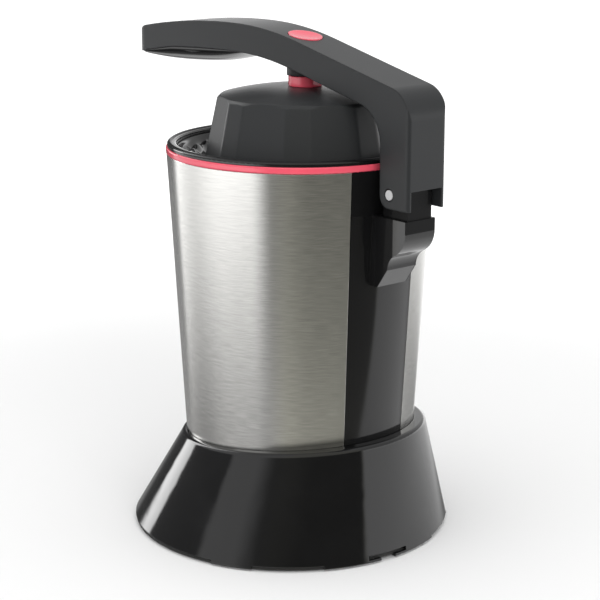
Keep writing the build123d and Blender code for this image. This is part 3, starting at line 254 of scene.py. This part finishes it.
def satin_plastic(name, base, rough=0.31, grain=0.06 * mm, edge=1.2 * mm, shine=0.23):
    """Satin moulding: fine spark-eroded grain and a slight unevenness of its sheen."""
    material, s = new_material(name)
    at = s.place()
    cells = s.noise(at, scale=1500.0, detail=3.0, rough=0.6)
    broad = s.noise(at, scale=25.0)
    s.surface(
        Base_Color=s.blend(broad * 0.5 + cells * 0.3, shade(base), shade(base, 1.3)),
        Roughness=broad * 0.06 + cells * 0.05 + rough,
        Normal=s.bump(cells, 0.35, grain, edge),
        Specular_IOR_Level=shine,
    )
    return material


def brushed_metal(name, base):
    """Steel brushed level round the body: streaks vary quickly up the wall and slowly round it."""
    streaks_round, streaks_up = 2.6, 820.0
    scratches_round, scratches_up, scratch_layer = 9.0, 1700.0, 3.0
    material, s = new_material(name)
    x, y, z = s.axes(s.place())
    turn = x.atan2(0.0 - y)
    streak = s.noise(s.join(turn * streaks_round, z * streaks_up, 0.0), scale=1.0)
    scratch = s.noise(s.join(turn * scratches_round, z * scratches_up, scratch_layer), scale=1.0)
    tone = (streak - 0.5) * 0.5 + scratch
    s.surface(
        Base_Color=s.blend(tone.clamp(), shade(base, 0.84), shade(base, 1.14)),
        Metallic=1.0,
        Roughness=scratch * 0.06 + 0.17,
        Anisotropic=0.8,
        Anisotropic_Rotation=0.25,
        Normal=s.bump(tone, strength=0.07, distance=0.02 * mm),
    )
    return material


def plain_metal(name, base, rough):
    """Plated or turned metal with a fine grain and a little cloudiness."""
    material, s = new_material(name)
    at = s.place()
    cloud = s.noise(at, scale=120.0, detail=3.0)
    fine = s.noise(at, scale=2200.0)
    s.surface(
        Base_Color=s.blend(cloud, shade(base, 0.9), shade(base)),
        Metallic=1.0,
        Roughness=cloud * 0.12 + fine * 0.05 + rough,
        Normal=s.bump(fine, strength=0.2, distance=0.01 * mm),
    )
    return material


def soft_rubber(name, base):
    """Matt rubber with a fine dry grain."""
    material, s = new_material(name)
    grain = s.noise(s.place(), scale=1800.0, detail=3.0, rough=0.6)
    s.surface(
        Base_Color=s.blend(grain, shade(base), shade(base, 1.5)),
        Roughness=grain * 0.15 + 0.68,
        Normal=s.bump(grain, strength=0.4, distance=0.05 * mm),
    )
    return material


def laminated(name, base, rust):
    """Stacked sheet: level lines half a millimetre apart, with a little rust."""
    half_sheet = 0.25 * mm
    material, s = new_material(name)
    at = s.place()
    z = s.axes(at)[2]
    sheet = z.ping_pong(half_sheet) / half_sheet
    patches = s.noise(at, scale=90.0, detail=3.0)
    s.surface(
        Base_Color=s.blend(patches * 0.4, shade(base), shade(rust)),
        Metallic=0.8,
        Roughness=patches * 0.2 + 0.35,
        Normal=s.bump(sheet, strength=0.4, distance=0.1 * mm),
    )
    return material


def wound_wire(name, base):
    """Enamelled wire: thin round turns side by side, a sine of the angle and the height; its colour
    darkens between the turns as painted shade.
    """
    wires_round, wires_up = 160.0, 900.0
    material, s = new_material(name)
    x, y, z = s.axes(s.place())
    wire = (x.atan2(y) * wires_round + z * wires_up).sine() * 0.5 + 0.5
    s.surface(
        # painted shade: the colour darkens between the turns
        Base_Color=s.blend(wire, shade(base, 0.5), shade(base)),
        Metallic=0.9,
        Roughness=wire * 0.15 + 0.2,
        Normal=s.bump(wire, strength=0.6, distance=0.2 * mm),
    )
    return material


lacquer_black = (0.0045, 0.0045, 0.0048)
finishes = {
    "black_gloss": gloss_plastic("black_gloss", lacquer_black, rough=0.07),
    "black_satin": satin_plastic("black_satin", (0.021, 0.022, 0.023)),
    "black_inner": satin_plastic("black_inner", (0.012, 0.012, 0.013), rough=0.45),
    "steel": brushed_metal("brushed_steel", (0.635, 0.63, 0.61)),
    "red_gloss": gloss_plastic("red_gloss", (0.74, 0.085, 0.13), rough=0.1),
    "bright_steel": plain_metal("bright_steel", (0.5, 0.5, 0.51), rough=0.22),
    "zinc": plain_metal("zinc_plate", (0.62, 0.62, 0.64), rough=0.27),
    "rubber": soft_rubber("rubber", (0.012, 0.012, 0.012)),
    "nylon": satin_plastic("natural_nylon", (0.7, 0.68, 0.6), rough=0.4, grain=0.03 * mm),
    "bronze": plain_metal("sintered_bronze", (0.5, 0.34, 0.16), rough=0.32),
    "copper": wound_wire("copper_wire", (0.62, 0.26, 0.1)),
    "lamination": laminated("lamination", (0.3, 0.3, 0.31), rust=(0.22, 0.16, 0.12)),
}
for row in frame["record"]["subparts"]:
    piece = nodes[row["node"]]
    piece.data.materials.clear()
    piece.data.materials.append(finishes[row["material_slot"]])
housing_rear_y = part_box("rear_housing")[1][1]
housing_gloss = housing_plastic("housing_gloss", lacquer_black, housing_rear_y)
nodes["rear_housing"].data.materials[0] = housing_gloss
rim_black = satin_plastic(
    "rim_black", (0.006, 0.006, 0.0065), rough=0.25, grain=0.01 * mm, edge=0.5 * mm, shine=0.14
)


def grid_faces(rows, columns, ring):
    """Quads between rows of points, each row a closed section; in a ring the last row meets the first.

    They point outwards where each row runs clockwise, as seen along the way from row to row.
    """
    i = np.arange(rows if ring else rows - 1)[:, None]
    j = np.arange(columns)[None, :]
    next_i = (i + 1) % rows
    next_j = (j + 1) % columns
    corners = [i * columns + j, i * columns + next_j, next_i * columns + next_j, next_i * columns + j]
    return np.stack([np.broadcast_to(c, (i.size, j.size)).ravel() for c in corners], axis=1)


def add_piece(name, points, body, slot, ring=False, finish=None):
    """A smooth mesh that rides on a body, in the finish of a material slot or its own shade of it.

    Where a row of points is drawn to one place, its points are merged to a single pole.
    """
    faces = grid_faces(*points.shape[:2], ring)
    mesh = bpy.data.meshes.new(name)
    mesh.from_pydata(points.reshape(-1, 3).tolist(), [], faces.tolist())
    mesh.polygons.foreach_set("use_smooth", np.ones(len(faces), dtype=bool))
    mesh.materials.append(finish or finishes[slot])
    joined = bmesh.new()
    joined.from_mesh(mesh)
    bmesh.ops.remove_doubles(joined, verts=joined.verts, dist=0.001 * mm)
    joined.to_mesh(mesh)
    joined.free()
    piece = bpy.data.objects.new(name, mesh)
    scene.collection.objects.link(piece)
    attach(piece, body)
    return piece


def smooth_loop(corners, count):
    """Closed Catmull-Rom curve through a few corner points, as count points.

    From p1 to p2 it is the cubic whose slopes at its ends are half of p2 - p0 and half of p3 - p1.
    """
    corners = np.array(corners)
    at = np.linspace(0, len(corners), count, endpoint=False)
    first = np.floor(at).astype(int)
    share = (at % 1.0)[:, None]
    p0, p1, p2, p3 = (corners[(first + k) % len(corners)] for k in (-1, 0, 1, 2))
    return 0.5 * (
        2 * p1
        + (p2 - p0) * share
        + (2 * p0 - 5 * p1 + 4 * p2 - p3) * share**2
        + (3 * p1 - p0 - 3 * p2 + p3) * share**3
    )


def whole_turn(count):
    """Angles evenly round a circle, the first not repeated at the end."""
    return np.linspace(0, 2 * math.pi, count, endpoint=False)


# Rolled lip on the rim of the juice bowl: corners of its section in mm from its outer top edge
bowl_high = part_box("juice_bowl")[1]
lip_r = bowl_high[0] - 0.1 * mm
lip_top = bowl_high[2] + 0.7 * mm
lip_corners = [(-5.9, -3.2), (-4.2, -1.3), (-2.0, 0.0), (-0.3, -0.9), (0.02, -2.2), (-1.5, -3.0)]


def turned_ring(section, count):
    """Closed section of radius and height carried round an upright axis: x = r cos a, y = r sin a."""
    a = whole_turn(count)[:, None]
    r = section[None, :, 0]
    z = np.broadcast_to(section[None, :, 1], (count, len(section)))
    return np.stack([r * np.cos(a), r * np.sin(a), z], axis=2)


lip_section = smooth_loop(np.array(lip_corners) * mm + (lip_r, lip_top), 40)
add_piece("bowl_lip", turned_ring(lip_section, 240), "base", "black_gloss", ring=True, finish=rim_black)

# Flange of the strainer, from its own lip out to the wall of the bowl, with a rolled ridge and an
# upturned edge: corners of its section as a share of the way out and in mm above the strainer
strainer_low, strainer_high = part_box("strainer")
strainer_y = (strainer_low[1] + strainer_high[1]) / 2
flange_in = strainer_high[0] - 1.2 * mm
flange_out = lip_r - 6.0 * mm
flange_z = strainer_high[2]
flange_scallops, flange_wave = 26, 1.5 * mm
flange_corners = [
    (0.0, -0.4), (0.1, 4.4), (0.3, 8.2), (0.48, 7.2), (0.66, 4.4), (0.86, 6.8), (0.97, 10.6),
    (0.995, 9.0), (0.9, 4.6), (0.66, 2.6), (0.46, 5.2), (0.3, 6.2), (0.19, 3.6), (0.12, -0.5),
]


def scalloped_ring(section, count):
    """Closed section of share and height carried round: x = r cos a, y = r sin a.

    Share 0 runs on a circle about the strainer's middle and share 1 on one about the bowl's. A sine
    round the ring lifts and lowers it, most at half share, so that its ridge is scalloped.
    """
    a = whole_turn(count)[:, None]
    share = section[None, :, 0]
    r = flange_in + (flange_out - flange_in) * share
    swing = np.sin(math.pi * np.clip(share, 0, 1)) ** 2
    z = section[None, :, 1] + flange_wave * np.sin(flange_scallops * a) * swing
    return np.stack([r * np.cos(a), r * np.sin(a) + strainer_y * (1 - share), z], axis=2)


flange_section = smooth_loop(np.array(flange_corners) * (1, mm) + (0, flange_z), 84)
add_piece("strainer_flange", scalloped_ring(flange_section, 360), "base", "black_gloss", ring=True)

# Palm swell under the grip, full width from the tip back past the bend
arm_low, arm_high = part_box("arm_shell")
tip_y, tip_round = arm_low[1], 11.0 * mm
palm_half = arm_high[0] - 0.25 * mm
palm_front, palm_rear = tip_y + 0.3 * mm, -33.0 * mm
palm_deep, palm_arch, palm_square = 7.0 * mm, 2.6, 2.3
palm_sunk, palm_top, palm_least = 0.35 * mm, 0.6 * mm, 0.1 * mm
chord_tip_z, under_z = 290.0 * mm, 297.4 * mm
bend_y, hook_y = -45.0 * mm, -113.0 * mm
hook_droop, hook_slope = 2.7 * mm, 0.172


def under_edge(y):
    """Height of the arm's lower edge: a parabola from the bend, then a straight fall past the hook."""
    droop = hook_droop * ((bend_y - np.maximum(y, hook_y)) / (bend_y - hook_y)) ** 2
    return under_z - droop - hook_slope * np.maximum(hook_y - y, 0.0)


def palm_swell(rows, columns):
    """Sections across the arm: rounded squares, deep below the arm's edge and flat inside the arm.

    The low line hangs below a straight chord, from the tip to behind the bend, by palm_deep times
    (1 - |2s - 1|^palm_arch)^e, where s runs from 0 to 1 along the chord and e grows from a half to 1,
    so that the tip is full and the far end shallow.
    """
    s = 0.5 - 0.5 * np.cos(np.linspace(0, math.pi, rows))
    y = palm_front + (palm_rear - palm_front) * s
    chord = chord_tip_z + (under_z - chord_tip_z) * s
    low = chord - palm_deep * (1 - np.abs(2 * s - 1) ** palm_arch) ** (0.5 + 0.5 * s)
    top = under_edge(y) + palm_sunk
    deep = np.maximum(top - low, palm_least)
    into_tip = np.clip(y - tip_y, 0.0, tip_round)
    half = palm_half - tip_round + np.sqrt(tip_round**2 - (tip_round - into_tip) ** 2)
    half[[0, -1]] = 0.0
    a = whole_turn(columns)[None, :]
    across = np.sign(np.cos(a)) * np.abs(np.cos(a)) ** (2 / palm_square)
    down = np.sign(np.sin(a)) * np.abs(np.sin(a)) ** (2 / palm_square)
    is_open = (half > 0)[:, None]
    drop = is_open * np.where(down > 0, deep[:, None], palm_top) * down
    along = np.broadcast_to(y[:, None], drop.shape)
    return np.stack([half[:, None] * across, along, top[:, None] - drop], axis=2)


add_piece("palm_swell", palm_swell(90, 64), "arm", "black_gloss")

# Dark rubber bars inside the skirt's foot, put where there is only shade: painted shade in the outlet
# slot and under the skirt's raised edges
skirt_low, skirt_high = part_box("base_skirt")
skirt_r = (skirt_high[0] - skirt_low[0]) / 2
skirt_y = skirt_low[1] + skirt_r
shade_bar_in = skirt_r - 5.0 * mm
slot_aside = 3.5
slot_turn = math.radians(90.0 - slot_aside)


def foot_bar(recess, low, high, turn, half_turn, count):
    """Bar along an arc about the skirt's axis, drawn to a point at each end: x = r cos a, y = r sin a.

    Its section of radius and height is a rounded rectangle, from shade_bar_in out to recess inside the
    skirt.
    """
    shade_bar_out = skirt_r - recess
    section = smooth_loop([(shade_bar_in, low), (shade_bar_in, high), (shade_bar_out, high), (shade_bar_out, low)], 24)
    centre = section.mean(axis=0)
    fullness = np.ones((count, 1, 1))
    fullness[[0, -1]] = 0.0
    r, z = np.moveaxis(centre + (section - centre) * fullness, 2, 0)
    a = turn + math.radians(half_turn) * np.linspace(-1, 1, count)[:, None]
    return np.stack([r * np.cos(a), skirt_y + r * np.sin(a), z], axis=2)


# One behind the outlet slot, and one under the skirt's raised edges, all round but for the slot; both are
# dark sheets of painted shade
slot_shade_bar = foot_bar(
    recess=1.7 * mm, low=1.9 * mm, high=5.2 * mm, turn=slot_turn, half_turn=8.3, count=24
)
add_piece("slot_shade_bar", slot_shade_bar, "base", "rubber")
foot_shade_ring = foot_bar(
    recess=1.3 * mm, low=0.75 * mm, high=3.2 * mm, turn=slot_turn + math.pi, half_turn=176.2, count=200
)
add_piece("foot_shade_ring", foot_shade_ring, "base", "rubber")


def coil_spring(low, high, middle_y, coil_r, wire, turns):
    """Round wire carried up a helix: x = r cos a, y = r sin a, drawn to a point at each end.

    The height rests on each end turn and rises between by a smooth step.
    """
    steps_a_turn, around, resting_turn = 36, 12, 0.4
    share = np.linspace(0, 1, steps_a_turn * turns + 1)
    end_share = resting_turn / turns
    lift = np.clip((share - end_share) / (1 - 2 * end_share), 0, 1)
    lift = lift * lift * (3 - 2 * lift)
    a = 2 * math.pi * turns * share[:, None]
    b = whole_turn(around)[None, :]
    thick = np.where((share > 0) & (share < 1), wire / 2, 0.0)[:, None]
    r = coil_r + thick * np.cos(b)
    z = low + wire / 2 + (high - low - wire) * lift[:, None] - thick * np.sin(b)
    return np.stack([r * np.cos(a), middle_y + r * np.sin(a), z], axis=2)


def set_spring(name, node, turns, wire, body):
    """Coil spring in the room of its CAD node, which it hides."""
    low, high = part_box(node)
    middle_y = (low[1] + high[1]) / 2
    points = coil_spring(low[2], high[2], middle_y, high[0] - wire / 2, wire, turns)
    piece = add_piece(name, points, body, "zinc")
    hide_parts(node)
    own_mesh(piece)


set_spring(
    "button_coil", "button_spring", turns=3, wire=0.8 * mm,
    body="arm",
)
set_spring(
    "spindle_coil", "spindle_spring", turns=4, wire=1.2 * mm,
    body="base",
)

# Pale floor, which glows for the camera alone, more so further out, to meet the white background;
# the glow grows between two squares of the distance, so the floor round the press stays darker: painted
# shade
white = shade((1, 1, 1))
floor_half = 8.0
floor_grey, near_glow, far_glow = 0.84, 0.02, 0.54
square_from, square_full = 0.02, 0.9
floor_mesh = bpy.data.meshes.new("floor")
floor_corners = [(x * floor_half, y * floor_half, 0) for x, y in ((-1, -1), (1, -1), (1, 1), (-1, 1))]
floor_mesh.from_pydata(floor_corners, [], [(0, 1, 2, 3)])
floor = bpy.data.objects.new("floor", floor_mesh)
scene.collection.objects.link(floor)
floor.visible_glossy = False
floor_material, s = new_material("pale_floor")
floor_x, floor_y, _ = s.axes(s.place())
# the glow is least near the press, which paints shade round its foot
far_out = (floor_x * floor_x + floor_y * floor_y).step(square_from, square_full)
seen = s.node("ShaderNodeLightPath", {}, {}, "Is Camera Ray")
glow = {"Color": white, "Strength": seen * (far_out * far_glow + near_glow)}
matt = s.node("ShaderNodeBsdfDiffuse", {}, {"Color": shade((floor_grey, floor_grey, floor_grey))})
s.close(s.node("ShaderNodeAddShader", {}, {0: matt, 1: s.node("ShaderNodeEmission", {}, glow)}))
floor_mesh.materials.append(floor_material)

# Studio that glossy surfaces see, by degrees round from +X towards +Y and degrees of rise
world = bpy.data.worlds.new("studio")
scene.world = world
w = Shader(world)
degrees = 180 / math.pi
to_x, to_y, to_z = w.axes(w.node("ShaderNodeTexCoord", {}, {}, "Generated"))
azimuth = to_y.atan2(to_x) * degrees
rise = to_z.arcsine() * degrees


def past(low, high):
    """0 before the azimuth low, 1 beyond the azimuth high."""
    return azimuth.step(low, high)


def before(low, high):
    return 1.0 - past(low, high)


def above(low, high):
    """0 under the rise low, 1 over the rise high."""
    return rise.step(low, high)


def below(low, high):
    return 1.0 - above(low, high)


def stretch(low, high, soft):
    """1 between two azimuths, with soft sides."""
    return past(low - soft, low + soft) * before(high - soft, high + soft)


# Dark screen behind the camera, whose far edge bulges at one height; 1 is the background's white
bulge_rise, bulge_reach, bulge_turn = -18.0, 8.0, 22.0
screen_dark, screen_near, screen_foot, screen_top = 0.11, 0.12, 0.16, 0.75
bulge = (1.0 - ((rise - bulge_rise) / bulge_reach) ** 2.0).at_least(0.0)
screen_start = past(6.0, 27.0)
screen_end = (azimuth - bulge * bulge_turn).step(102.0, 106.0)
screen_level = (
    screen_dark
    + before(30.0, 62.0) * screen_near
    + below(-27.0, -20.0) * screen_foot
    + above(9.0, 15.0) * screen_top
)
dark_screen = screen_start * (1.0 - screen_end) * screen_level

# White wall from there round past -X, brightest about level, with a darker band low at its far end
wall_white, wall_lift, wall_fall, wall_glow, band_fall = 1.05, 0.5, 0.75, 0.8, 0.8
wall_stretch = (screen_end + before(-124.0, -120.0)).clamp()
band_stretch = (past(166.0, 172.0) + before(-150.0, -140.0)).clamp()
low_band = above(-27.0, -22.0) * below(-18.0, -15.0) * band_stretch
level_glow = above(-4.0, 1.0) * below(5.0, 9.0)
wall_level = wall_white + above(-15.0, -9.0) * wall_lift - above(5.0, 12.0) * wall_fall
wall = wall_stretch * (wall_level + level_glow * wall_glow - low_band * band_fall)

# Grey side screen, and a strip lamp beside it
side_dark, side_foot, strip_bright = 0.12, 0.2, 4.4
side_screen = stretch(-122.0, -87.0, 2.0) * (side_dark + below(-13.0, -9.0) * side_foot)
strip_lamp = stretch(-88.0, -70.0, 1.5) * above(-5.0, -1.5) * strip_bright

# Lamp side: a lit floor that brightens with distance, under a pale sky with one dark stretch
floor_dark, floor_lift, floor_dim, floor_gain = 0.14, 2.2, 0.7, 0.48
sky_white, sky_fall = 1.1, 0.85
floor_turn = floor_dim + past(-60.0, -20.0) * floor_gain
lit_floor = (above(-22.5, -12.5) * floor_lift + floor_dark) * floor_turn
sky = above(-8.0, -2.0)
dark_stretch = stretch(-70.0, -19.0, 2.5) * below(9.5, 12.0)
lamp_level = lit_floor * (1.0 - sky) + sky * (sky_white - dark_stretch * sky_fall)
lamp_side = past(-91.0, -81.0) * (1.0 - screen_start) * lamp_level

# Ground under all of it, darker below the lamp side, and a ceiling over it
ground_white, ground_fall, ceiling_white = 1.3, 1.05, 0.9
ground = below(-38.0, -29.0)
ground_level = ground_white - stretch(-88.0, 16.0, 6.0) * above(-62.0, -48.0) * ground_fall
ceiling = above(35.0, 60.0)
around = dark_screen + wall + side_screen + strip_lamp + lamp_side
studio = (around * (1.0 - ground) + ground * ground_level) * (1.0 - ceiling) + ceiling * ceiling_white

# The camera sees plain white, glossy surfaces the studio, and matt ones an even light from all sides
even_light = 0.8
warm_white = (1.0, 0.99, 0.88)
camera_ray = w.node("ShaderNodeLightPath", {}, {}, "Is Camera Ray")
glossy_ray = camera_ray.part("Is Glossy Ray")
plain = (camera_ray + camera_ray.part("Is Transmission Ray")).clamp()
brightness = plain + (1.0 - plain) * (glossy_ray * studio + (1.0 - glossy_ray) * even_light)
tint = w.blend(glossy_ray * past(14.0, 40.0) * (1.0 - screen_end), white, shade(warm_white))
background = w.node("ShaderNodeBackground", {}, {"Color": tint, "Strength": brightness})
w.close(background, "ShaderNodeOutputWorld")

# Soft lamps for the matt surfaces, all turned to the middle of the press
lamp_aim = np.array((0.0, 0.0, 0.15))


def area_lamp(name, place, side, watts):
    """Soft square lamp that looks from its place to lamp_aim and isn't seen in reflections."""
    data = bpy.data.lights.new(name, "AREA")
    data.shape = "SQUARE"
    data.size = side
    data.energy = watts
    lamp = bpy.data.objects.new(name, data)
    scene.collection.objects.link(lamp)
    away = lamp_aim - np.array(place)
    tilt = math.acos(-away[2] / float(np.linalg.norm(away)))
    lamp.location = place
    lamp.rotation_euler = (tilt, 0, math.atan2(away[1], away[0]) - math.pi / 2)
    lamp.visible_glossy = False


area_lamp("overhead", (0.3, 0.2, 1.6), side=1.4, watts=9)
area_lamp("side", (1.4, -0.4, 0.9), side=1.0, watts=1)
area_lamp("fill", (0.6, 1.5, 0.8), side=1.0, watts=9)

# Camera at the photo's place
camera_data = bpy.data.cameras.new("camera")
camera_data.lens = 104.0
camera_data.sensor_width = 36.0
camera = bpy.data.objects.new("camera", camera_data)
scene.collection.objects.link(camera)
camera.location = (0.67813, 0.80817, 0.42057)
camera.rotation_euler = (math.radians(75.33), 0, math.radians(140.0))
scene.camera = camera
